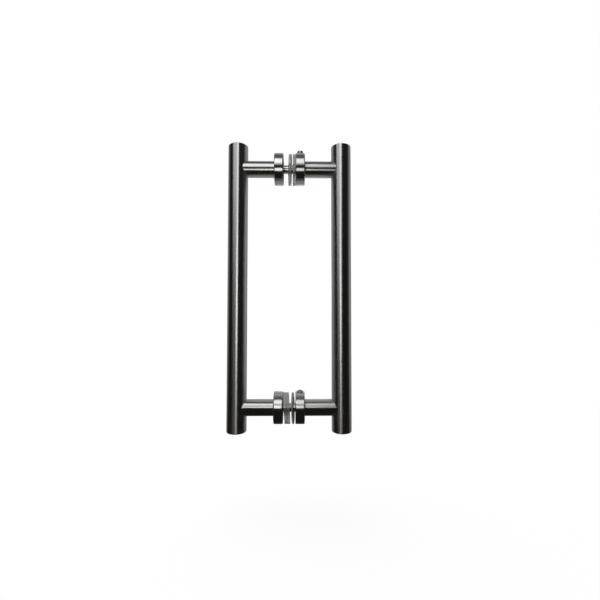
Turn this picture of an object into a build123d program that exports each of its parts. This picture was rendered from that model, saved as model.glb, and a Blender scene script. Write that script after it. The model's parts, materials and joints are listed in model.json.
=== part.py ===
"""Back-to-back pull handle for a glass door, in millimetres.

Frame: +Z up along the bars, X through the glass from the left pull to the right pull, and the
origin on the mid-plane of the glass, halfway between the two fixings.
"""

from build123d import *
from math import cos, radians, sin, tan
import os

# Bars: round tubes closed by plug caps
bar_diameter = 19.0
bar_wall = 1.5
bar_length = 275.0
bar_overhang = 22.5
bar_spacing = 100.2
cap_thickness = 2.0
cap_rim_radius = 0.9
cap_spigot_length = 6.0
cap_spigot_clearance = 0.05

# Posts: solid rods coped to the bar
post_diameter = 15.5
post_end_recess = 0.4
post_end_chamfer = 0.5

# Collars: thick rings on the post ends, facing each other across the glass
glass_gap = 11.7
collar_diameter = 30.0
collar_thickness = 8.8
collar_rim_radius = 1.0
collar_bore_clearance = 0.05
collar_bore_chamfer = 0.4

# Studs: one through each hole in the glass
stud_diameter = 8.0
stud_grip = 16.0
stud_point_chamfer = 1.0
tapped_clearance = 0.05
tapped_runout = 3.0
sliding_clearance = 0.25
drill_point_angle = 118.0

# Set screws: socket set screws in the right collars, locking the right posts to the studs
set_screw_diameter = 6.0
set_screw_chamfer = 0.4
set_screw_socket = 3.0
set_screw_socket_depth = 3.5
set_screw_hole_clearance = 0.4
set_screw_tip_gap = 0.2
top_set_screw_proud = 3.1
bottom_set_screw_proud = 1.2

# Washers: clear discs hanging loose on the studs
washer_diameter = 29.0
washer_hole_diameter = 9.0
washer_thickness = 2.6
thin_washer_thickness = 1.5
washer_hang_clearance = 0.05
washer_stack_gap = 0.1

# Where the loose washers hang: distance along the stud from the glass mid-plane, the lean of the
# top edge towards +X, and the turn about the vertical, in millimetres and degrees
top_inner_washer_place = 0.48
top_inner_washer_lean = 1.6
top_inner_washer_turn = -0.7
top_outer_washer_place = 4.43
top_outer_washer_lean = 0.2
top_outer_washer_turn = 0.0
bottom_first_washer_place = -3.65
bottom_stack_lean = -3.0
bottom_stack_turn = 1.2
bottom_thin_washer_place = 3.65
bottom_thin_washer_lean = -1.9
bottom_thin_washer_turn = -3.5

# Places worked out from the sizes above
bar_radius = bar_diameter / 2
bar_centre = bar_spacing / 2
post_height = bar_length / 2 - bar_overhang
post_radius = post_diameter / 2
collar_face = glass_gap / 2
collar_middle = collar_face + collar_thickness / 2
post_end = collar_face + post_end_recess
stud_radius = stud_diameter / 2
stud_reach = post_end + stud_grip
set_screw_radius = set_screw_diameter / 2
collar_radius = collar_diameter / 2
set_screw_length = collar_radius + bottom_set_screw_proud - stud_radius - set_screw_tip_gap

sides = {"left": -1, "right": 1}
levels = {"top": 1, "bottom": -1}

os.makedirs("parts", exist_ok=True)


def save(piece, name):
    """Label a finished piece and write it as its own file."""
    piece.label = name
    export_step(piece, f"parts/{name}.step")


def side_plane(side, distance, height):
    """A plane square to the stud, facing away from the glass on the given side."""
    return Plane(origin=(side * distance, 0, height), x_dir=(0, 1, 0), z_dir=(side, 0, 0))


# Bars: plain tubes between the cap shoulders
for side_name, side in sides.items():
    with BuildPart() as bar:
        with BuildSketch(Plane(origin=(side * bar_centre, 0, 0))):
            Circle(bar_radius)
            Circle(bar_radius - bar_wall, mode=Mode.SUBTRACT)
        extrude(amount=bar_length / 2 - cap_thickness, both=True)
    save(bar.part, f"{side_name}_bar")

# End caps: a turned disc with a rounded rim and a spigot that plugs the tube
for side_name, side in sides.items():
    for level_name, level in levels.items():
        shoulder = level * (bar_length / 2 - cap_thickness)
        cap_plane = Plane(origin=(side * bar_centre, 0, shoulder), x_dir=(1, 0, 0), z_dir=(0, 0, level))
        with BuildPart() as cap:
            with BuildSketch(cap_plane):
                Circle(bar_radius)
            extrude(amount=cap_thickness)
            fillet(cap.edges().sort_by(Axis.Z)[-1 if level > 0 else 0], cap_rim_radius)
            with BuildSketch(cap_plane):
                Circle(bar_radius - bar_wall - cap_spigot_clearance)
            extrude(amount=-cap_spigot_length)
        save(cap.part, f"{side_name}_bar_{level_name}_cap")

# Posts: rods with one end coped to the bar and the other bored for the stud
for side_name, side in sides.items():
    for level_name, level in levels.items():
        height = level * post_height
        end_plane = side_plane(side, post_end, height)
        tapped = side_name == "left"
        bore_radius = stud_radius + (tapped_clearance if tapped else sliding_clearance)
        bore_depth = stud_grip + tapped_runout
        with BuildPart() as post:
            with BuildSketch(end_plane):
                Circle(post_radius)
            extrude(amount=bar_centre - post_end)
            chamfer(post.faces().sort_by(Axis.X)[-1 if side < 0 else 0].edges(), post_end_chamfer)
            with Locations(Location((side * bar_centre, 0, height))):
                Cylinder(bar_radius, 2 * bar_diameter, mode=Mode.SUBTRACT)
            with BuildSketch(end_plane):
                Circle(bore_radius)
            extrude(amount=bore_depth, mode=Mode.SUBTRACT)
            with Locations(end_plane.offset(bore_depth)):
                Cone(
                    bore_radius,
                    0,
                    bore_radius / tan(radians(drill_point_angle / 2)),
                    align=(Align.CENTER, Align.CENTER, Align.MIN),
                    mode=Mode.SUBTRACT,
                )
            if not tapped:
                with BuildSketch(Plane(origin=(collar_middle, 0, height))):
                    Circle(set_screw_radius + set_screw_hole_clearance)
                extrude(amount=post_diameter, mode=Mode.SUBTRACT)
        save(post.part, f"{side_name}_{level_name}_post")

# Collars: turned rings, the right ones drilled and tapped upwards for the set screw
for side_name, side in sides.items():
    for level_name, level in levels.items():
        height = level * post_height
        ring_inside = post_radius + collar_bore_clearance
        with BuildPart() as collar:
            with BuildSketch(Plane(origin=(0, 0, height), x_dir=(1, 0, 0), z_dir=(0, -1, 0))) as section:
                with Locations((side * collar_middle, (ring_inside + collar_radius) / 2)):
                    Rectangle(collar_thickness, collar_radius - ring_inside)
                bore_corners, rim_corners = section.vertices().group_by(Axis.Y)
                fillet(rim_corners, collar_rim_radius)
                chamfer(bore_corners, collar_bore_chamfer)
            revolve(axis=Axis((0, 0, height), (1, 0, 0)))
            if side_name == "right":
                with BuildSketch(Plane(origin=(collar_middle, 0, height))):
                    Circle(set_screw_radius + tapped_clearance)
                extrude(amount=collar_diameter, mode=Mode.SUBTRACT)
        save(collar.part, f"{side_name}_{level_name}_collar")

# Studs: plain rods at the thread's outer size, pointed at both ends
for level_name, level in levels.items():
    with BuildPart() as stud:
        with BuildSketch(side_plane(1, 0, level * post_height)):
            Circle(stud_radius)
        extrude(amount=stud_reach, both=True)
        chamfer(stud.edges().filter_by(GeomType.CIRCLE), stud_point_chamfer)
    save(stud.part, f"{level_name}_stud")

# Set screws: flat-pointed rods with a hexagon socket in the upper end
for level_name, proud in {"top": top_set_screw_proud, "bottom": bottom_set_screw_proud}.items():
    screw_top = levels[level_name] * post_height + collar_radius + proud
    screw_plane = Plane(origin=(collar_middle, 0, screw_top), x_dir=(1, 0, 0), z_dir=(0, 0, 1))
    with BuildPart() as set_screw:
        with BuildSketch(screw_plane):
            Circle(set_screw_radius)
        extrude(amount=-set_screw_length)
        chamfer(set_screw.edges().filter_by(GeomType.CIRCLE), set_screw_chamfer)
        with BuildSketch(screw_plane):
            RegularPolygon(set_screw_socket / 2, 6, major_radius=False)
        extrude(amount=-set_screw_socket_depth, mode=Mode.SUBTRACT)
    save(set_screw.part, f"{level_name}_set_screw")


def make_washer(name, level, place, lean, turn, thickness):
    """A disc hung by its hole on the stud, tipped by lean and swung by turn, both in degrees."""
    tip = radians(lean)
    hole_radius = washer_hole_diameter / 2
    hole_room = hole_radius * cos(tip) - thickness / 2 * sin(abs(tip)) - stud_radius
    drop = hole_room - washer_hang_clearance
    hang = Plane(
        origin=(place, 0, level * post_height - drop),
        x_dir=(-tan(radians(turn)), 1, 0),
        z_dir=(cos(tip), tan(radians(turn)) * cos(tip), -sin(tip)),
    )
    with BuildPart() as washer:
        with BuildSketch(hang):
            Circle(washer_diameter / 2)
            Circle(hole_radius, mode=Mode.SUBTRACT)
        extrude(amount=thickness / 2, both=True)
    save(washer.part, name)


# Washers: two on the top stud, a stack of two and a thin one on the bottom stud
make_washer(
    "top_inner_washer",
    levels["top"],
    top_inner_washer_place,
    top_inner_washer_lean,
    top_inner_washer_turn,
    washer_thickness,
)
make_washer(
    "top_outer_washer",
    levels["top"],
    top_outer_washer_place,
    top_outer_washer_lean,
    top_outer_washer_turn,
    washer_thickness,
)
stack_pitch = (washer_thickness + washer_stack_gap) / cos(radians(bottom_stack_lean))
for index, name in enumerate(["bottom_first_washer", "bottom_second_washer"]):
    make_washer(
        name,
        levels["bottom"],
        bottom_first_washer_place + index * stack_pitch,
        bottom_stack_lean,
        bottom_stack_turn,
        washer_thickness,
    )
make_washer(
    "bottom_thin_washer",
    levels["bottom"],
    bottom_thin_washer_place,
    bottom_thin_washer_lean,
    bottom_thin_washer_turn,
    thin_washer_thickness,
)
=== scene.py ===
"""Studio scene of a back-to-back pull handle for a glass door.

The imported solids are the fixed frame. Bars, caps, posts and collars keep their solids and get ground and
turned steel; studs and set screws are replaced by pieces with cut threads, and the clear washers by discs
with moulded edges. Lengths are in metres, with Z up the bars and X through the glass.
"""

from __future__ import annotations

import json
import logging
import math
from dataclasses import dataclass
from enum import Enum

import bpy
import numpy as np
from mathutils import Matrix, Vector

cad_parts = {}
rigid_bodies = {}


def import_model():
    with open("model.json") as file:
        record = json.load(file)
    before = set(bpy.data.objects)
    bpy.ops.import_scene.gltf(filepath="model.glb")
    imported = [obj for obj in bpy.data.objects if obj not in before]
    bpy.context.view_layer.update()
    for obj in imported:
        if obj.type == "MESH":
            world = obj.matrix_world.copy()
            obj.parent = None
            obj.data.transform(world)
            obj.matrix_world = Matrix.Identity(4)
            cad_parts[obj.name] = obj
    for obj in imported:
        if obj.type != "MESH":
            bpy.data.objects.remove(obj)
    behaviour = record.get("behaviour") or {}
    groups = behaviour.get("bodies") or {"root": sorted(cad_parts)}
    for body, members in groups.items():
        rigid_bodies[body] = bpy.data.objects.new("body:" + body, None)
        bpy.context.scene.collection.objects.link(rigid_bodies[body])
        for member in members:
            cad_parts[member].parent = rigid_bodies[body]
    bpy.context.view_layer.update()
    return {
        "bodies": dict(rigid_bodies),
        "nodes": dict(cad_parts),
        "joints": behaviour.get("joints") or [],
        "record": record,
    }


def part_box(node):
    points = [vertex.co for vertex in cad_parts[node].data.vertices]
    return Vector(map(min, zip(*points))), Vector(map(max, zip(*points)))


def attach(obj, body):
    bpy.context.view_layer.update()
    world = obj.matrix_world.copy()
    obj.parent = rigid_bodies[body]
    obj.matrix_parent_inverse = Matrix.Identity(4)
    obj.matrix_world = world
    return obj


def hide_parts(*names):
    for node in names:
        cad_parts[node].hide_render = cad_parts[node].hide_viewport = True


LOG = logging.getLogger("pull_handle")
MM = 0.001
BODY = "root"
TINY = 1e-6

# A linear colour, a place in metres, and the two ends of a range
Tone = tuple[float, float, float]
Place = tuple[float, float, float]
Span = tuple[float, float]


class Side(Enum):
    """The pull on each face of the glass."""

    LEFT = "left"
    RIGHT = "right"


class Level(Enum):
    """The upper and the lower fixing."""

    TOP = "top"
    BOTTOM = "bottom"


class Grain(Enum):
    """The axis that a ground or turned surface was spun about."""

    BAR = "Z"
    POST = "X"


class Ends(Enum):
    """How the first and last ring of a ringed surface are closed."""

    POLES = "poles"
    LOOP = "loop"


# Surfaces


@dataclass(frozen=True)
class TurningFrame:
    """A turning axis through a point, with two directions square to it."""

    origin: np.ndarray
    axis: np.ndarray
    first: np.ndarray
    second: np.ndarray

    @classmethod
    def about(cls, origin: np.ndarray, axis: np.ndarray) -> TurningFrame:
        """Make a right-handed frame about an axis.

        Args:
            origin: A point on the axis.
            axis: The direction of the axis, of any length.

        Returns:
            The frame, whose first direction crossed with its second gives the axis.
        """
        axis = np.asarray(axis, float) / np.linalg.norm(axis)
        nearly_upright = 0.9
        helper = (1.0, 0.0, 0.0) if abs(axis[2]) > nearly_upright else (0.0, 0.0, 1.0)
        first = np.cross(helper, axis)
        first /= np.linalg.norm(first)
        return cls(np.asarray(origin, float), axis, first, np.cross(axis, first))

    def place(self, radius: np.ndarray, along: np.ndarray, angle: np.ndarray) -> np.ndarray:
        """Turn cylindrical values into points.

        A point is the origin, plus the distance along the axis, plus the radius times the cosine of the
        angle on the first direction and the sine on the second.

        Args:
            radius: Distances from the axis.
            along: Distances along the axis from the origin.
            angle: Angles about the axis in radians.

        Returns:
            Points in an array with one more dimension than the values together.
        """
        radius, along, angle = np.broadcast_arrays(radius, along, angle)
        round_part = np.cos(angle)[..., None] * self.first + np.sin(angle)[..., None] * self.second
        return self.origin + along[..., None] * self.axis + radius[..., None] * round_part


def turn_angles(columns: int) -> np.ndarray:
    """Evenly spaced angles round a full turn, as one row."""
    return np.linspace(0.0, 2.0 * math.pi, columns, endpoint=False)[None, :]


def ease(low: float, high: float, value: np.ndarray) -> np.ndarray:
    """Rise smoothly from 0 at low to 1 at high, as three t squared less two t cubed."""
    t = np.clip((value - low) / (high - low), 0.0, 1.0)
    return t * t * (3.0 - 2.0 * t)


def thread_radius(
    along: np.ndarray, angle: np.ndarray, pitch: float, crest: float, depth: float | np.ndarray
) -> np.ndarray:
    """Radius of a single-start metric thread.

    The place in the pitch is the distance along the axis in pitches, less the angle in turns. The radius is
    the crest over an eighth of a pitch, the root over a quarter, and runs straight between them.

    Args:
        along: Distances along the axis.
        angle: Angles about the axis in radians.
        pitch: Distance from crest to crest.
        crest: Outer radius of the thread.
        depth: Height of the thread from root to crest.

    Returns:
        The radius at each place.
    """
    crest_end = 1.0 / 16.0
    root_start = 1.0 / 2.0 - 1.0 / 8.0
    turn = np.mod(along / pitch - angle / (2.0 * math.pi), 1.0)
    from_crest = np.abs(turn - 0.5)
    height = np.clip((root_start - from_crest) / (root_start - crest_end), 0.0, 1.0)
    return crest - depth + depth * height


def hexagon_radius(angle: np.ndarray, across_flats: float) -> np.ndarray:
    """Radius of a hexagon: half the width over flats, over the cosine of the angle from the nearest flat."""
    sixth = math.pi / 3.0
    return across_flats / 2.0 / np.cos(np.mod(angle, sixth) - sixth / 2.0)


def new_object(
    name: str, vertices: np.ndarray, faces: list[list[int]], sharp_angle: float = 35.0
) -> bpy.types.Object:
    """Put points and faces into a new smooth-shaded object at the origin.

    Args:
        name: Name of the object and its mesh.
        vertices: Points, one row each.
        faces: Corner numbers of each face.
        sharp_angle: Edges that turn by more than this, in degrees, stay crisp.

    Returns:
        The object, linked into the scene.
    """
    mesh = bpy.data.meshes.new(name)
    mesh.from_pydata(vertices.tolist(), [], faces)
    mesh.shade_smooth()
    mesh.set_sharp_from_angle(angle=math.radians(sharp_angle))
    mesh.validate()
    made = bpy.data.objects.new(name, mesh)
    bpy.context.scene.collection.objects.link(made)
    return made


def ringed_object(
    name: str, rings: np.ndarray, ends: Ends, poles: np.ndarray | None = None
) -> bpy.types.Object:
    """Join rings of points into a closed surface.

    Ring i, column j is joined to column j + 1 and to ring i + 1, and the last column to the first. Rings
    that run forwards along the axis with angles that turn about it give faces that point outwards.

    Args:
        name: Name of the object.
        rings: Points as rings by columns by three.
        ends: Whether the end rings close on poles, or the last ring on the first.
        poles: The two pole points, where there are poles.

    Returns:
        The closed object.
    """
    rows, columns = rings.shape[:2]
    number = np.arange(rows * columns).reshape(rows, columns)
    ahead = np.roll(number, -1, axis=1)
    if ends is Ends.LOOP:
        low, low_ahead = number, ahead
        high, high_ahead = np.roll(number, -1, axis=0), np.roll(ahead, -1, axis=0)
    else:
        low, low_ahead = number[:-1], ahead[:-1]
        high, high_ahead = number[1:], ahead[1:]
    faces = np.stack([low, low_ahead, high_ahead, high], axis=-1).reshape(-1, 4).tolist()
    vertices = rings.reshape(-1, 3)
    if ends is Ends.POLES:
        first_pole = np.full(columns, rows * columns)
        last_pole = first_pole + 1
        faces += np.stack([first_pole, ahead[0], number[0]], axis=-1).tolist()
        faces += np.stack([last_pole, number[-1], ahead[-1]], axis=-1).tolist()
        vertices = np.concatenate([vertices, poles])
    return new_object(name, vertices, faces)


def sheet_object(name: str, points: np.ndarray) -> bpy.types.Object:
    """Join an open grid of points into a sheet.

    Args:
        name: Name of the object.
        points: Points as rows by columns by three.

    Returns:
        The sheet.
    """
    rows, columns = points.shape[:2]
    number = np.arange(rows * columns).reshape(rows, columns)
    corners = [number[:-1, :-1], number[:-1, 1:], number[1:, 1:], number[1:, :-1]]
    faces = np.stack(corners, axis=-1).reshape(-1, 4).tolist()
    return new_object(name, points.reshape(-1, 3), faces)


# Finishes


class NodeSheet:
    """A material's node tree, cleared, with short calls to add nodes and links."""

    def __init__(self, name: str) -> None:
        """Start a new material with an empty tree and an output.

        Args:
            name: Name of the material.
        """
        self.material = bpy.data.materials.new(name)
        self.material.use_nodes = True
        self.tree = self.material.node_tree
        self.tree.nodes.clear()
        self.output = self.tree.nodes.new("ShaderNodeOutputMaterial")

    def add(self, kind: str, **settings: object) -> bpy.types.Node:
        """Add a node.

        Args:
            kind: The node's type, without its ShaderNode prefix.
            **settings: Properties to set on the node.

        Returns:
            The new node.
        """
        made = self.tree.nodes.new("ShaderNode" + kind)
        for key, value in settings.items():
            setattr(made, key, value)
        return made

    def link(self, source: bpy.types.NodeSocket, target: bpy.types.NodeSocket) -> None:
        """Link an output socket to an input socket."""
        self.tree.links.new(source, target)

    def object_noise(
        self, scale: float | tuple[float, float, float], detail: float, roughness: float = 0.5
    ) -> bpy.types.NodeSocket:
        """Noise on Object coordinates, even or stretched along the axes.

        Args:
            scale: Features per metre, one number for all axes or one each for X, Y and Z.
            detail: Octaves of the noise.
            roughness: Weight of the finer octaves.

        Returns:
            The noise value's socket.
        """
        place = self.add("TexCoord")
        mapping = self.add("Mapping")
        mapping.inputs["Scale"].default_value = np.broadcast_to(scale, 3).tolist()
        noise = self.add("TexNoise")
        noise.inputs["Scale"].default_value = 1.0
        noise.inputs["Detail"].default_value = detail
        noise.inputs["Roughness"].default_value = roughness
        self.link(place.outputs["Object"], mapping.inputs["Vector"])
        self.link(mapping.outputs["Vector"], noise.inputs["Vector"])
        return noise.outputs["Fac"]

    def spread(self, source: bpy.types.NodeSocket, given: Span, wanted: Span) -> bpy.types.NodeSocket:
        """Map one range of values onto another.

        Args:
            source: The value to map.
            given: The range that the value has.
            wanted: The range that it is mapped to.

        Returns:
            The mapped value's socket.
        """
        node = self.add("MapRange")
        node.inputs["From Min"].default_value, node.inputs["From Max"].default_value = given
        node.inputs["To Min"].default_value, node.inputs["To Max"].default_value = wanted
        self.link(source, node.inputs["Value"])
        return node.outputs["Result"]

    def blend(self, factor: bpy.types.NodeSocket, low: Tone, high: Tone) -> bpy.types.NodeSocket:
        """Blend two colours by a factor.

        Args:
            factor: The factor's socket.
            low: Linear colour at 0.
            high: Linear colour at 1.

        Returns:
            The blended colour's socket.
        """
        node = self.add("Mix", data_type="RGBA")
        node.inputs["A"].default_value = (*low, 1.0)
        node.inputs["B"].default_value = (*high, 1.0)
        self.link(factor, node.inputs["Factor"])
        return node.outputs["Result"]

    def bump(self, height: bpy.types.NodeSocket, strength: float, depth: float) -> bpy.types.NodeSocket:
        """Tilt the surface's normal by a height pattern.

        Args:
            height: The pattern's socket.
            strength: Weight of the tilt from 0 to 1.
            depth: Height of the pattern in metres.

        Returns:
            The tilted normal's socket.
        """
        node = self.add("Bump")
        node.inputs["Strength"].default_value = strength
        node.inputs["Distance"].default_value = depth
        self.link(height, node.inputs["Height"])
        return node.outputs["Normal"]

    def close(self, surface: bpy.types.NodeSocket) -> bpy.types.Material:
        """Link the surface to the output and hand over the material."""
        self.link(surface, self.output.inputs["Surface"])
        return self.material


@dataclass(frozen=True)
class SpunSteel:
    """Stainless steel ground or turned on a spinning axis, so that fine lines run round the piece.

    The tones are its deep and its light colour, and scales are in features per metre. The smear is turned
    by a quarter, so that it draws the highlight along the axis, across the lines.
    """

    name: str
    grain: Grain
    tones: tuple[Tone, Tone]
    roughness: float
    smear: float
    smear_turn: float = 0.25
    line_pitch: float = 0.22 * MM
    line_depth: float = 0.004 * MM
    line_strength: float = 0.4
    round_scale: float = 35.0
    mark_scale: float = 70.0
    wear_scale: float = 25.0
    wear_range: Span = (0.35, 0.65)
    wear_spread: float = 0.004

    def material(self) -> bpy.types.Material:
        """Lay out the finish: lines round the axis, soft handling marks and a drawn-out highlight.

        Returns:
            The finished material.
        """
        sheet = NodeSheet(self.name)
        fine, slow = 1.0 / self.line_pitch, self.round_scale
        line_scale = (slow, slow, fine) if self.grain is Grain.BAR else (fine, slow, slow)
        lines = sheet.object_noise(line_scale, detail=3.0, roughness=0.6)
        marks = sheet.object_noise(self.mark_scale, detail=4.0, roughness=0.55)
        wear = sheet.object_noise(self.wear_scale, detail=1.0)
        gloss = (self.roughness - self.wear_spread, self.roughness + self.wear_spread)
        steel = sheet.add("BsdfPrincipled")
        steel.inputs["Metallic"].default_value = 1.0
        steel.inputs["Anisotropic"].default_value = self.smear
        steel.inputs["Anisotropic Rotation"].default_value = self.smear_turn
        tangent = sheet.add("Tangent", direction_type="RADIAL", axis=self.grain.value)
        sheet.link(tangent.outputs["Tangent"], steel.inputs["Tangent"])
        sheet.link(sheet.blend(marks, *self.tones), steel.inputs["Base Color"])
        sheet.link(sheet.spread(wear, self.wear_range, gloss), steel.inputs["Roughness"])
        sheet.link(sheet.bump(lines, self.line_strength, self.line_depth), steel.inputs["Normal"])
        return sheet.close(steel.outputs["BSDF"])


@dataclass(frozen=True)
class ThreadSteel:
    """Steel of a cut thread, with a duller grain than the ground pieces.

    The tones are its deep and its light colour, and scales are in features per metre.
    """

    name: str
    tones: tuple[Tone, Tone]
    roughness: float
    mottle_scale: float = 900.0
    mottle_range: Span = (0.3, 0.7)
    mottle_spread: Span = (-0.06, 0.08)
    grain_scale: float = 6000.0
    grain_depth: float = 0.005 * MM
    grain_strength: float = 0.2

    def material(self) -> bpy.types.Material:
        """Lay out the finish: fine mottling in tone and gloss, with a shallow grain.

        Returns:
            The finished material.
        """
        sheet = NodeSheet(self.name)
        mottle = sheet.object_noise(self.mottle_scale, detail=4.0, roughness=0.6)
        grain = sheet.object_noise(self.grain_scale, detail=2.0)
        gloss = (self.roughness + self.mottle_spread[0], self.roughness + self.mottle_spread[1])
        steel = sheet.add("BsdfPrincipled")
        steel.inputs["Metallic"].default_value = 1.0
        sheet.link(sheet.blend(mottle, *self.tones), steel.inputs["Base Color"])
        sheet.link(sheet.spread(mottle, self.mottle_range, gloss), steel.inputs["Roughness"])
        sheet.link(sheet.bump(grain, self.grain_strength, self.grain_depth), steel.inputs["Normal"])
        return sheet.close(steel.outputs["BSDF"])


@dataclass(frozen=True)
class ClearPlastic:
    """Clear moulded plastic with a haze that scatters part of the light.

    The tones are its deep and its light colour, and scales are in features per metre.
    """

    name: str
    tones: tuple[Tone, Tone]
    roughness: float
    clearness: float
    refraction: float = 1.49
    cloud_scale: float = 160.0
    cloud_range: Span = (0.3, 0.7)
    cloud_spread: Span = (-0.05, 0.07)
    grain_scale: float = 2500.0
    grain_depth: float = 0.01 * MM
    grain_strength: float = 0.05

    def material(self) -> bpy.types.Material:
        """Lay out the finish: light goes through, a little scattered, with a faint cloudiness.

        Returns:
            The finished material.
        """
        sheet = NodeSheet(self.name)
        cloud = sheet.object_noise(self.cloud_scale, detail=3.0)
        grain = sheet.object_noise(self.grain_scale, detail=2.0)
        haze = (self.roughness + self.cloud_spread[0], self.roughness + self.cloud_spread[1])
        plastic = sheet.add("BsdfPrincipled")
        plastic.inputs["Transmission Weight"].default_value = self.clearness
        plastic.inputs["IOR"].default_value = self.refraction
        sheet.link(sheet.blend(cloud, *self.tones), plastic.inputs["Base Color"])
        sheet.link(sheet.spread(cloud, self.cloud_range, haze), plastic.inputs["Roughness"])
        sheet.link(sheet.bump(grain, self.grain_strength, self.grain_depth), plastic.inputs["Normal"])
        return sheet.close(plastic.outputs["BSDF"])


# Pieces of the handle


def dress_node(frame: dict, name: str, material: bpy.types.Material) -> None:
    """Give a kept solid its finish in every material slot.

    Args:
        frame: The loaded frame.
        name: The solid's node name.
        material: The finish to assign.
    """
    for slot in frame["nodes"][name].material_slots:
        slot.material = material
    LOG.info("dressed %s with %s", name, material.name)


def fit_piece(piece: bpy.types.Object, node: str, material: bpy.types.Material) -> None:
    """Stand a new piece in for a solid, on the handle's one body.

    Args:
        piece: The new object.
        node: The solid that it replaces.
        material: The finish to assign.
    """
    piece.data.materials.append(material)
    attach(piece, BODY)
    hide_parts(node)
    LOG.info("built %s with %d faces for %s", piece.name, len(piece.data.polygons), node)


def node_corners(node: str) -> tuple[np.ndarray, np.ndarray]:
    """Lowest and highest corner of a solid as arrays."""
    low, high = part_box(node)
    return np.array(low), np.array(high)


@dataclass
class PullBar:
    """One upright bar: a tube with a cap in each end."""

    side: Side
    finish: bpy.types.Material

    def dress(self, frame: dict) -> None:
        """Give the tube and its caps the bar's ground finish.

        Args:
            frame: The loaded frame.
        """
        dress_node(frame, f"{self.side.value}_bar", self.finish)
        for level in Level:
            dress_node(frame, f"{self.side.value}_bar_{level.value}_cap", self.finish)


@dataclass
class StandOff:
    """One post with the collar on its end."""

    side: Side
    level: Level
    post_finish: bpy.types.Material
    collar_finish: bpy.types.Material

    def dress(self, frame: dict) -> None:
        """Give the post its ground finish and the collar its turned one.

        Args:
            frame: The loaded frame.
        """
        dress_node(frame, f"{self.side.value}_{self.level.value}_post", self.post_finish)
        dress_node(frame, f"{self.side.value}_{self.level.value}_collar", self.collar_finish)


@dataclass
class ClampStud:
    """The threaded stud that joins the two pulls through one hole in the glass."""

    level: Level
    finish: bpy.types.Material
    pitch: float = 1.25 * MM
    thread_share: float = 0.613
    thread_length: float = 14.0 * MM
    point: float = 1.0 * MM
    columns: int = 96
    rows_per_pitch: int = 12

    def build(self) -> bpy.types.Object:
        """Build the stud with a thread cut in from both ends and a plain shank across the glass.

        Each ring's radius is the thread's, held under a cone at 45 degrees that rises from the end faces.
        The thread's depth eases from full to nothing over one pitch where it runs out into the shank.

        Returns:
            The stud, in the place of its solid.
        """
        node = f"{self.level.value}_stud"
        low, high = node_corners(node)
        half, crest = (high[0] - low[0]) / 2.0, (high[2] - low[2]) / 2.0
        turning = TurningFrame.about((low + high) / 2.0, np.array((1.0, 0.0, 0.0)))
        rows = int(2.0 * half / self.pitch * self.rows_per_pitch)
        along = np.linspace(-half, half, rows)[:, None]
        angle = turn_angles(self.columns)
        shank = half - self.thread_length
        depth = self.thread_share * self.pitch * ease(shank - self.pitch, shank, np.abs(along))
        thread = thread_radius(along, angle, self.pitch, crest, depth)
        radius = np.minimum(thread, crest - self.point + half - np.abs(along))
        poles = turning.place(np.zeros(2), np.array((-half, half)), np.zeros(2))
        stud = ringed_object(f"{node}_thread", turning.place(radius, along, angle), Ends.POLES, poles)
        fit_piece(stud, node, self.finish)
        return stud


@dataclass
class SetScrew:
    """A socket set screw standing in the top of a right collar."""

    level: Level
    finish: bpy.types.Material
    pitch: float = 1.0 * MM
    thread_share: float = 0.613
    point: float = 0.4 * MM
    socket: float = 3.0 * MM
    socket_depth: float = 3.5 * MM
    mouth_room: float = 0.06 * MM
    mouth_slope: float = 0.5
    drill_point: float = 0.5 * MM
    columns: int = 72
    rows_per_pitch: int = 12

    def build(self) -> bpy.types.Object:
        """Build the screw from its flat point up the thread, over the top face and down into the socket.

        The thread's rings are held under cones at 45 degrees at both ends. The socket's mouth is a circle
        just outside the hexagon's corners, the next rings are the hexagon down to its floor, and the floor
        ends on the drill's point.

        Returns:
            The set screw, in the place of its solid.
        """
        node = f"{self.level.value}_set_screw"
        low, high = node_corners(node)
        length, crest = high[2] - low[2], (high[0] - low[0]) / 2.0
        foot = np.array(((low[0] + high[0]) / 2.0, (low[1] + high[1]) / 2.0, low[2]))
        turning = TurningFrame.about(foot, np.array((0.0, 0.0, 1.0)))
        rows = int(length / self.pitch * self.rows_per_pitch)
        along = np.linspace(0.0, length, rows)[:, None]
        angle = turn_angles(self.columns)
        thread = thread_radius(along, angle, self.pitch, crest, self.thread_share * self.pitch)
        cone = crest - self.point + np.minimum(along, length - along)
        hexagon = hexagon_radius(angle, self.socket)
        mouth = np.full_like(hexagon, hexagon.max() + self.mouth_room)
        mouth_fall = (mouth.max() - self.socket / 2.0) * self.mouth_slope
        radius = np.concatenate([np.minimum(thread, cone), mouth, hexagon, hexagon])
        socket_along = np.array((length, length - mouth_fall, length - self.socket_depth))[:, None]
        heights = np.concatenate([along, socket_along])
        pole_along = np.array((0.0, length - self.socket_depth - self.drill_point))
        poles = turning.place(np.zeros(2), pole_along, np.zeros(2))
        screw = ringed_object(f"{node}_thread", turning.place(radius, heights, angle), Ends.POLES, poles)
        fit_piece(screw, node, self.finish)
        return screw


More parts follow.
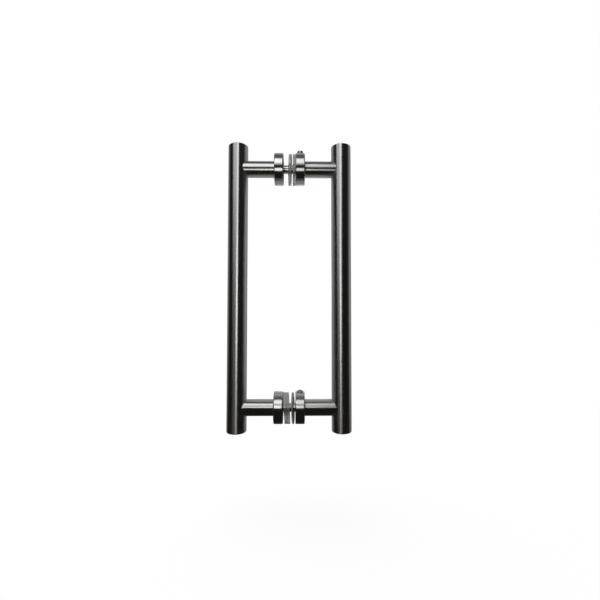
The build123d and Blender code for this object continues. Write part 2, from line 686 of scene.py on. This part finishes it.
@dataclass
class LooseWashers:
    """The clear washers that hang on one stud."""

    level: Level
    names: tuple[str, ...]
    finish: bpy.types.Material
    edge_radius: float = 0.35 * MM
    columns: int = 144
    corner_steps: int = 6
    merge_digits: int = 8

    def hang(self, solid: bpy.types.Object) -> tuple[TurningFrame, float, float, float]:
        """Read where a washer's solid hangs.

        The axis is the normal of the solid's largest face, the middle is the mean of its corners, and the
        radii and the thickness are the limits of the corners about that axis.

        Args:
            solid: The washer's node.

        Returns:
            The turning frame, the hole's radius, the rim's radius and half the thickness.
        """
        mesh = solid.data
        points = np.empty(len(mesh.vertices) * 3)
        mesh.vertices.foreach_get("co", points)
        points = np.unique(np.round(points.reshape(-1, 3), self.merge_digits), axis=0)
        areas = np.empty(len(mesh.polygons))
        mesh.polygons.foreach_get("area", areas)
        axis = np.array(mesh.polygons[int(areas.argmax())].normal)
        turning = TurningFrame.about(points.mean(axis=0), axis)
        offset = points - turning.origin
        along = offset @ turning.axis
        radius = np.linalg.norm(offset - along[:, None] * turning.axis, axis=1)
        return turning, float(radius.min()), float(radius.max()), float(np.ptp(along)) / 2.0

    def section(self, hole: float, rim: float, half: float) -> tuple[np.ndarray, np.ndarray]:
        """Round the four corners of the washer's section.

        Each corner is a quarter circle about a centre set in by the edge radius, taken in turn from the
        rim's lower corner to the hole's lower corner.

        Args:
            hole: Radius of the hole.
            rim: Radius of the rim.
            half: Half the thickness.

        Returns:
            Radii and distances along the axis, as two columns.
        """
        inset = self.edge_radius
        centre_radius = np.array((rim - inset, rim - inset, hole + inset, hole + inset))[:, None]
        centre_along = np.array((inset - half, half - inset, half - inset, inset - half))[:, None]
        quarter = 0.5 * math.pi
        start = quarter * np.array((-1.0, 0.0, 1.0, 2.0))[:, None]
        bend = start + np.linspace(0.0, quarter, self.corner_steps)[None, :]
        radius = centre_radius + inset * np.cos(bend)
        along = centre_along + inset * np.sin(bend)
        return radius.reshape(-1, 1), along.reshape(-1, 1)

    def build(self, frame: dict) -> list[bpy.types.Object]:
        """Spin the rounded section about each washer's own axis.

        Args:
            frame: The loaded frame.

        Returns:
            The washers, in the places of their solids.
        """
        made = []
        for name in self.names:
            node = f"{self.level.value}_{name}_washer"
            turning, hole, rim, half = self.hang(frame["nodes"][node])
            radius, along = self.section(hole, rim, half)
            rings = turning.place(radius, along, turn_angles(self.columns))
            washer = ringed_object(f"{node}_disc", rings, Ends.LOOP)
            fit_piece(washer, node, self.finish)
            made.append(washer)
        return made


# Studio


@dataclass(frozen=True)
class SoftBox:
    """A lit patch of the tent's wall with soft edges, in degrees of azimuth and elevation."""

    azimuth: Span
    elevation: Span
    level: float
    soft: float
    low_soft: float

    def glow(self, azimuth: np.ndarray, elevation: np.ndarray) -> np.ndarray:
        """Level over the wall.

        The azimuth is wrapped to within half a turn of the patch's middle. The level is the product of four
        eased steps, one at each edge of the patch, the lower one slower.

        Args:
            azimuth: Azimuths of the wall's points, in degrees from the camera's side towards +X.
            elevation: Elevations of the wall's points in degrees.

        Returns:
            The light level at each point.
        """
        middle = np.mean(self.azimuth)
        azimuth = np.mod(azimuth - middle + 180.0, 360.0) - 180.0 + middle
        across = ease(self.azimuth[0] - self.soft, self.azimuth[0] + self.soft, azimuth)
        across = across * (1.0 - ease(self.azimuth[1] - self.soft, self.azimuth[1] + self.soft, azimuth))
        up = ease(self.elevation[0] - self.low_soft, self.elevation[0] + self.low_soft, elevation)
        up = up * (1.0 - ease(self.elevation[1] - self.soft, self.elevation[1] + self.soft, elevation))
        return self.level * across * up


@dataclass(frozen=True)
class GlowCloth:
    """Lit cloth of a studio panel, whose light is kept on the mesh."""

    name: str
    sampled: bool

    def material(self) -> bpy.types.Material:
        """Emit the colour that the mesh's glow attribute gives, as a lamp or only where it is mirrored.

        Returns:
            The finished material.
        """
        sheet = NodeSheet(self.name)
        glow = sheet.add("Attribute", attribute_name="glow")
        light = sheet.add("Emission")
        sheet.link(glow.outputs["Color"], light.inputs["Color"])
        sheet.material.cycles.emission_sampling = "AUTO" if self.sampled else "NONE"
        return sheet.close(light.outputs["Emission"])


@dataclass(frozen=True)
class GlowPanel:
    """A small flat soft box facing along Y, with its place and sizes in metres."""

    name: str
    centre: Place
    half: tuple[float, float]
    soft: float
    level: float
    tone: Tone
    shows_through: bool
    grid: int = 41

    def points(self) -> tuple[np.ndarray, np.ndarray]:
        """Points and light colours of the panel.

        A flat grid across X and Z, lit by the level, which eases to dark towards the nearest edge.

        Returns:
            The grid of points, and one linear colour per point as rows of three.
        """
        side = np.linspace(-1.0, 1.0, self.grid)
        across, up = np.meshgrid(side * self.half[0], side * self.half[1])
        points = np.stack([across, np.zeros_like(across), up], axis=-1) + np.array(self.centre)
        inside = np.minimum(self.half[0] - np.abs(across), self.half[1] - np.abs(up))
        glow = self.level * ease(0.0, 2.0 * self.soft, inside)
        return points, np.outer(glow.ravel(), self.tone)


@dataclass
class Studio:
    """Camera, white surround, pale floor, and the tent and panels that the steel mirrors.

    Places and sizes are in metres, lamp angles in degrees and camera angles in radians. An edge is the pair
    of values between which a level eases in: of the direction's part to the rear, or of its height.
    """

    tent_radius: float = 0.68
    tent_floor: float = 0.19
    tent_rings: int = 180
    tent_columns: int = 360
    tent_top_ring: float = 89.5
    dark_level: float = 0.0115
    rear_level: float = 0.3
    rear_rise: float = 0.42
    rear_fall: float = 0.1
    rear_turn: float = 0.135
    rear_lift: float = 0.17
    rear_edge: Span = (-0.115, 0.5)
    ceiling_level: float = 0.12
    ceiling_edge: Span = (0.75, 0.95)
    wall_tone: Tone = (1.0, 1.0, 1.0)
    ground_tone: Tone = (1.04, 0.97, 0.92)
    ground_edge: Span = (-0.05, -0.55)
    box_tone: Tone = (1.0, 0.992, 1.008)
    soft_boxes: tuple[SoftBox, ...] = (
        SoftBox(azimuth=(-57.0, 6.0), elevation=(25.0, 64.5), level=1.3, soft=6.5, low_soft=9.0),
        SoftBox(azimuth=(-17.5, 7.5), elevation=(30.0, 64.5), level=2.47, soft=6.5, low_soft=15.0),
    )
    panels: tuple[GlowPanel, ...] = (
        GlowPanel(
            "front_panel",
            centre=(-0.0375, -0.300, -0.003),
            half=(0.058, 0.066),
            soft=0.013,
            level=3.45,
            tone=(1.0, 0.99, 0.91),
            shows_through=True,
        ),
        GlowPanel(
            "back_panel",
            centre=(0.02, 0.33, 0.015),
            half=(0.06, 0.06),
            soft=0.015,
            level=1.6,
            tone=(1.0, 0.99, 0.96),
            shows_through=False,
        ),
    )
    surround_tone: Tone = (0.95, 0.97, 1.0)
    surround_level: float = 0.6
    floor_drop: float = 0.20
    floor_half: float = 3.0
    floor_grid: int = 9
    floor_tones: tuple[Tone, Tone] = ((0.9, 0.9, 0.9), (0.94, 0.94, 0.94))
    floor_scale: float = 3.0
    floor_white: float = 0.94
    lamp_strength: float = 3.4
    lamp_spread: float = 45.0
    lamp_lean: tuple[float, float] = (-18.0, -12.0)
    camera_place: Place = (0.006016, -0.324187, -0.023229)
    camera_pitch: float = 0.0335
    camera_yaw: float = 0.0129
    camera_roll: float = 0.0009
    camera_clip: Span = (0.01, 20.0)
    focal_pixels: float = 336.05
    image_pixels: float = 600.0

    def camera(self) -> bpy.types.Object:
        """Set the camera at the photograph's viewpoint.

        The view runs along +Y, turned by the yaw towards +X and by the pitch upwards, and the picture is
        rolled about it.

        Returns:
            The scene's camera.
        """
        data = bpy.data.cameras.new("front_camera")
        data.lens = data.sensor_width * self.focal_pixels / self.image_pixels
        data.clip_start, data.clip_end = self.camera_clip
        level, rise = math.cos(self.camera_pitch), math.sin(self.camera_pitch)
        ahead = np.array((math.sin(self.camera_yaw) * level, math.cos(self.camera_yaw) * level, rise))
        right = np.cross(ahead, (0.0, 0.0, 1.0))
        right /= np.linalg.norm(right)
        up = np.cross(right, ahead)
        cosine, sine = math.cos(self.camera_roll), math.sin(self.camera_roll)
        right, up = cosine * right + sine * up, cosine * up - sine * right
        matrix = np.eye(4)
        matrix[:3, :3] = np.stack([right, up, -ahead], axis=1)
        matrix[:3, 3] = self.camera_place
        made = bpy.data.objects.new("front_camera", data)
        made.matrix_world = Matrix(matrix.tolist())
        bpy.context.scene.collection.objects.link(made)
        bpy.context.scene.camera = made
        return made

    def surround(self) -> None:
        """White for the camera, gloss and clear pieces, and an even soft light for the floor."""
        world = bpy.data.worlds.new("white_surround")
        world.use_nodes = True
        world.cycles.sampling_method = "NONE"
        nodes, links = world.node_tree.nodes, world.node_tree.links
        nodes.clear()
        output = nodes.new("ShaderNodeOutputWorld")
        seen = self.seen_socket(world.node_tree)
        soft, white = nodes.new("ShaderNodeBackground"), nodes.new("ShaderNodeBackground")
        soft.inputs["Color"].default_value = (*self.surround_tone, 1.0)
        soft.inputs["Strength"].default_value = self.surround_level
        white.inputs["Color"].default_value = (1.0, 1.0, 1.0, 1.0)
        white.inputs["Strength"].default_value = 1.0
        mix = nodes.new("ShaderNodeMixShader")
        links.new(seen, mix.inputs["Fac"])
        links.new(soft.outputs["Background"], mix.inputs[1])
        links.new(white.outputs["Background"], mix.inputs[2])
        links.new(mix.outputs["Shader"], output.inputs["Surface"])
        bpy.context.scene.world = world

    @staticmethod
    def seen_socket(tree: bpy.types.NodeTree) -> bpy.types.NodeSocket:
        """A socket that is 1 for camera, glossy and transmitted rays.

        Args:
            tree: The node tree to add to.

        Returns:
            The socket.
        """
        path = tree.nodes.new("ShaderNodeLightPath")
        first, second = tree.nodes.new("ShaderNodeMath"), tree.nodes.new("ShaderNodeMath")
        first.operation = second.operation = "MAXIMUM"
        tree.links.new(path.outputs["Is Camera Ray"], first.inputs[0])
        tree.links.new(path.outputs["Is Glossy Ray"], first.inputs[1])
        tree.links.new(first.outputs["Value"], second.inputs[0])
        tree.links.new(path.outputs["Is Transmission Ray"], second.inputs[1])
        return second.outputs["Value"]

    def floor(self) -> bpy.types.Object:
        """A pale floor below the handle, white to the camera, that keeps a trace of its shadow.

        The floor is a square grid of points at one height.

        Returns:
            The floor.
        """
        side = np.linspace(-self.floor_half, self.floor_half, self.floor_grid)
        across, away = np.meshgrid(side, side)
        points = np.stack([across, away, np.full_like(across, -self.floor_drop)], axis=-1)
        made = sheet_object("studio_floor", points)
        sheet = NodeSheet("pale_floor")
        paint = sheet.add("BsdfDiffuse")
        tint = sheet.object_noise(self.floor_scale, detail=2.0)
        sheet.link(sheet.blend(tint, *self.floor_tones), paint.inputs["Color"])
        white = sheet.add("Emission")
        share = sheet.add("Math", operation="MULTIPLY")
        sheet.link(self.seen_socket(sheet.tree), share.inputs[0])
        share.inputs[1].default_value = self.floor_white
        mix = sheet.add("MixShader")
        sheet.link(share.outputs["Value"], mix.inputs["Fac"])
        sheet.link(paint.outputs["BSDF"], mix.inputs[1])
        sheet.link(white.outputs["Emission"], mix.inputs[2])
        sheet.material.cycles.emission_sampling = "NONE"
        made.data.materials.append(sheet.close(mix.outputs["Shader"]))
        return made

    def lamp(self) -> bpy.types.Object:
        """A broad soft lamp high over the handle, for the floor and the cloudy plastic.

        Returns:
            The lamp, which the steel's and the clear plastic's reflections leave out.
        """
        data = bpy.data.lights.new("high_lamp", "SUN")
        data.energy = self.lamp_strength
        data.angle = math.radians(self.lamp_spread)
        made = bpy.data.objects.new("high_lamp", data)
        made.rotation_euler = (math.radians(self.lamp_lean[0]), math.radians(self.lamp_lean[1]), 0.0)
        made.visible_glossy = False
        made.visible_transmission = False
        bpy.context.scene.collection.objects.link(made)
        return made

    def light(self, made: bpy.types.Object, glow: np.ndarray, cloth: GlowCloth) -> None:
        """Store a light colour per point and give the panel its cloth.

        Args:
            made: The panel.
            glow: One linear colour per vertex, as rows of three.
            cloth: The panel's finish.
        """
        colours = np.concatenate([glow, np.ones((len(glow), 1))], axis=1)
        attribute = made.data.attributes.new("glow", "FLOAT_COLOR", "POINT")
        attribute.data.foreach_set("color", colours.astype(np.float32).ravel())
        made.data.materials.append(cloth.material())
        made.visible_camera = False
        made.visible_shadow = False

    def wall_glow(self, way: np.ndarray) -> np.ndarray:
        """Light colours of the tent's cloth, without its soft boxes.

        The level is dark and eases to grey with the direction's part along +Y, plus a little of its part
        along +X, less so below the horizon. The grey grows upwards, the ceiling is lit a little, and the
        tone warms towards the ground.

        Args:
            way: Unit directions from the middle of the tent, in the last dimension.

        Returns:
            One linear colour per direction.
        """
        height = way[..., 2]
        rear = self.rear_level * (1.0 + np.where(height > 0.0, self.rear_rise, self.rear_fall) * height)
        behind = way[..., 1] + self.rear_turn * way[..., 0] + self.rear_lift * np.minimum(height, 0.0)
        wall = self.dark_level + rear * ease(*self.rear_edge, behind)
        wall = np.maximum(wall, self.ceiling_level * ease(*self.ceiling_edge, height))
        warmth = ease(*self.ground_edge, height)[..., None]
        tone = np.array(self.wall_tone) * (1.0 - warmth) + np.array(self.ground_tone) * warmth
        return wall[..., None] * tone

    def tent(self) -> bpy.types.Object:
        """A round dark tent, grey behind the handle, with soft boxes in its wall.

        A point lies at the tent's radius in the direction of its azimuth and elevation, or nearer where the
        flat ground sheet cuts it off. Its light is the cloth's or a soft box's, whichever is brighter.

        Returns:
            The tent.
        """
        elevation = np.linspace(-self.tent_top_ring, self.tent_top_ring, self.tent_rings)[:, None]
        azimuth = np.linspace(-180.0, 180.0, self.tent_columns, endpoint=False)[None, :]
        rise, turn = np.radians(elevation), np.radians(azimuth)
        across, away = np.sin(turn) * np.cos(rise), -np.cos(turn) * np.cos(rise)
        way = np.stack(np.broadcast_arrays(across, away, np.sin(rise)), axis=-1)
        ground = self.tent_floor / np.maximum(-way[..., 2], TINY)
        reach = np.minimum(self.tent_radius, ground)
        poles = np.array(((0.0, 0.0, -self.tent_floor), (0.0, 0.0, self.tent_radius)))
        made = ringed_object("studio_tent", way * reach[..., None], Ends.POLES, poles)
        boxes = np.max([box.glow(azimuth, elevation) for box in self.soft_boxes], axis=0)
        glow = np.maximum(self.wall_glow(way), boxes[..., None] * np.array(self.box_tone))
        ends = np.outer((self.dark_level, self.ceiling_level), self.wall_tone)
        self.light(made, np.concatenate([glow.reshape(-1, 3), ends]), GlowCloth("tent_wall", False))
        return made

    def panel(self, plan: GlowPanel) -> bpy.types.Object:
        """A small bright panel that the steel mirrors.

        Args:
            plan: The panel's place and light.

        Returns:
            The panel.
        """
        points, glow = plan.points()
        made = sheet_object(plan.name, points)
        self.light(made, glow, GlowCloth(f"{plan.name}_cloth", True))
        made.visible_transmission = plan.shows_through
        return made

    def build(self) -> None:
        """Set up the whole studio."""
        bpy.context.scene.view_settings.view_transform = "Standard"
        self.surround()
        made = [self.camera(), self.floor(), self.lamp(), self.tent()]
        made += [self.panel(plan) for plan in self.panels]
        for item in made:
            LOG.info("set up %s", item.name)


def main() -> None:
    """Load the frame, dress its solids, build the new pieces and set up the studio."""
    logging.basicConfig(level=logging.INFO, format="%(name)s: %(message)s")
    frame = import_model()
    ground = ((0.58, 0.578, 0.575), (0.65, 0.648, 0.645))
    turned = ((0.6, 0.598, 0.594), (0.67, 0.668, 0.664))
    threaded = ((0.66, 0.65, 0.63), (0.78, 0.77, 0.75))
    moulded = ((0.86, 0.865, 0.86), (0.92, 0.925, 0.92))
    bar = SpunSteel("bar_ground_steel", Grain.BAR, ground, roughness=0.308, smear=1.0).material()
    post = SpunSteel("post_ground_steel", Grain.POST, ground, roughness=0.275, smear=0.94).material()
    collar = SpunSteel("collar_turned_steel", Grain.POST, turned, roughness=0.263, smear=0.9).material()
    stud = SpunSteel("stud_turned_steel", Grain.POST, turned, roughness=0.26, smear=0.9).material()
    screw = ThreadSteel("set_screw_steel", threaded, roughness=0.36).material()
    clear = ClearPlastic("washer_clear_plastic", moulded, roughness=0.3, clearness=0.82).material()
    for side in Side:
        PullBar(side, bar).dress(frame)
        for level in Level:
            StandOff(side, level, post, collar).dress(frame)
    for level in Level:
        ClampStud(level, stud).build()
        SetScrew(level, screw).build()
    LooseWashers(Level.TOP, ("inner", "outer"), clear).build(frame)
    LooseWashers(Level.BOTTOM, ("first", "second", "thin"), clear).build(frame)
    Studio().build()


if __name__ == "__main__":
    main()
